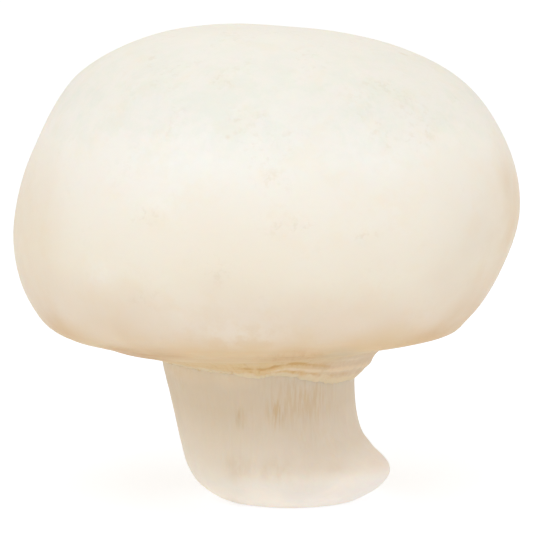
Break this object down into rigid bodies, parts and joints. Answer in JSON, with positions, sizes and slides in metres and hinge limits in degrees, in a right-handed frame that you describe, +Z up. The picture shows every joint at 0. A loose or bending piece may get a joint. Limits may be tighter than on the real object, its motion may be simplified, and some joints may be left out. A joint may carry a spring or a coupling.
{
  "type": "button mushroom",
  "caption": "Whole fresh button mushroom at the closed-cup stage: broad smooth off-white cap, veil round the neck, and a short cut stem with a flared foot to stand on.",
  "frame": {"origin": "centre of the cut face at the bottom of the stem, on the surface that the mushroom stands on", "axes": "+Z up through the stem to the cap, +X towards the side on which the foot of the stem flares, -Y towards the front"},
  "size_m": [0.05, 0.0486, 0.047],
  "materials": {
    "cap_skin": "satin",
    "veil_skin": "matte",
    "stem_flesh": "matte"
  },
  "bodies": {
    "root": {"cap": "cap_skin", "veil": "veil_skin", "stem": "stem_flesh"}
  },
  "joints": []
}
